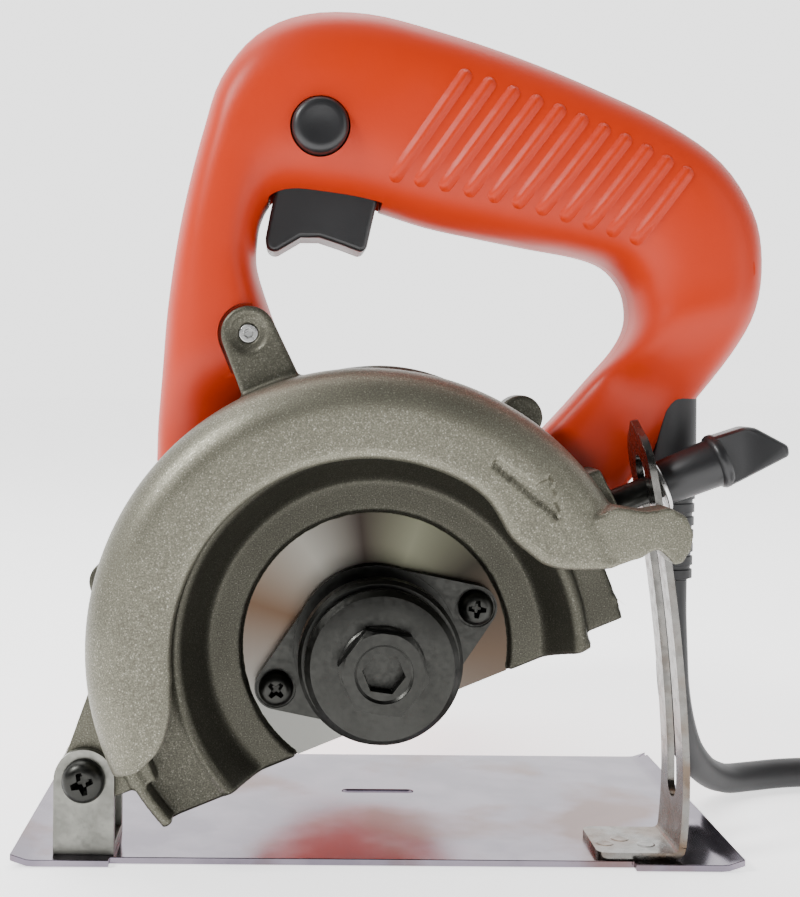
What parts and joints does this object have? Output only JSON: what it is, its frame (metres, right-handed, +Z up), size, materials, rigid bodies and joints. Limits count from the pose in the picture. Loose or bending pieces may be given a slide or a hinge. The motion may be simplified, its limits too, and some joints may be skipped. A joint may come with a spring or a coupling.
{
  "type": "marble cutter",
  "caption": "Hand-held electric trim saw with a half-round blade guard, D-handle, side motor and a tilting folded base plate with a slotted depth guide.",
  "frame": {"origin": "middle of the base plate's underside, where it rests on the work", "axes": "+Z up, +X along the cut towards the depth guide, +Y from the blade side towards the motor"},
  "size_m": [0.3211, 0.1996, 0.1921],
  "materials": {
    "plate_steel": "bright plated sheet",
    "bracket_steel": "dull zinc plated",
    "guide_steel": "bright zinc plated",
    "black_steel": "black oxide",
    "bright_steel": "bright machined",
    "cast_alloy": "sandblasted die casting",
    "orange_plastic": "fine satin texture",
    "black_plastic": "moulded",
    "cord_rubber": "matt sheath",
    "bronze": "sintered bronze",
    "copper": "enamelled copper",
    "laminated_steel": "stacked laminations",
    "carbon": "pressed carbon",
    "film_yellow": "capacitor case"
  },
  "bodies": {
    "base": {"base_plate": "plate_steel", "pivot_bracket": "bracket_steel", "pivot_screw": "black_steel", "pivot_nut": "black_steel", "depth_guide": "guide_steel", "cord_run": "cord_rubber", "cord_coil": "cord_rubber", "power_plug": "cord_rubber"},
    "armature": {"armature_shaft": "bright_steel", "armature_core": "laminated_steel", "commutator": "copper", "cooling_fan": "black_plastic"},
    "spindle": {"spindle_shaft": "bright_steel", "driven_gear": "bright_steel", "spindle_clip": "black_steel", "inner_flange": "black_steel", "outer_flange": "black_steel", "clamp_bolt": "black_steel"},
    "trigger": {"trigger": "black_plastic"},
    "lock_button": {"lock_button": "black_plastic"},
    "depth_washer": {"depth_washer": "bright_steel"},
    "depth_knob": {"depth_knob": "black_plastic"},
    "saw": {"blade_guard": "cast_alloy", "gear_housing": "cast_alloy", "gear_housing_screws": "bright_steel", "bearing_retainer": "black_steel", "retainer_screws": "black_steel", "spindle_bearing": "bright_steel", "spindle_bush": "bronze", "armature_front_bearing": "bright_steel", "armature_rear_bearing": "bright_steel", "motor_housing": "orange_plastic", "motor_housing_screws": "bright_steel", "rear_cover": "black_plastic", "rear_cover_screws": "bright_steel", "fan_baffle": "black_plastic", "field_core": "laminated_steel", "field_coils": "copper", "brush_holders": "bronze", "carbon_brushes": "carbon", "brush_caps": "black_plastic", "handle_left": "orange_plastic", "handle_right": "orange_plastic", "handle_screws": "bright_steel", "lug_screw": "bright_steel", "switch_body": "black_plastic", "capacitor": "film_yellow", "cord_clamp": "black_plastic", "cord_clamp_screws": "bright_steel", "strain_relief": "cord_rubber", "depth_stud": "black_steel", "trigger_spring": "bright_steel", "lock_spring": "bright_steel"}
  },
  "joints": [
    {"name": "depth_pivot", "type": "hinge", "parent": "base", "child": "saw", "pos_m": [-0.0645, -0.043, 0.0179], "axis": [0, 1, 0], "range_deg": [0, 17], "deforming": ["cord_run"]},
    {"name": "armature_spin", "type": "hinge", "parent": "saw", "child": "armature", "pos_m": [0.0005, 0, 0.07065], "axis": [0, 1, 0], "continuous": true},
    {"name": "spindle_spin", "type": "hinge", "parent": "saw", "child": "spindle", "pos_m": [0.0004, 0, 0.04465], "axis": [0, 1, 0], "continuous": true},
    {"name": "trigger_pull", "type": "slide", "parent": "saw", "child": "trigger", "axis": [0.1132, 0, 0.9936], "range_m": [0, 0.005], "stiffness_N_per_m": 600, "springref_m": -0.004, "deforming": ["trigger_spring"]},
    {"name": "lock_press", "type": "slide", "parent": "saw", "child": "lock_button", "axis": [0, 1, 0], "range_m": [0, 0.003], "stiffness_N_per_m": 500, "springref_m": -0.003, "deforming": ["lock_spring"]},
    {"name": "washer_slide", "type": "slide", "parent": "saw", "child": "depth_washer", "axis": [0.9245, 0, 0.3811], "range_m": [0, 0.003]},
    {"name": "knob_turn", "type": "hinge", "parent": "depth_washer", "child": "depth_knob", "pos_m": [0.06536, -0.031, 0.08386], "axis": [0.9245, 0, 0.3811], "range_deg": [0, 1090]}
  ],
  "couplings": [
    {"joint": "spindle_spin", "follows": "armature_spin", "ratio": -0.44444},
    {"joint": "knob_turn", "follows": "washer_slide", "rad_per_m": 6283.2}
  ]
}
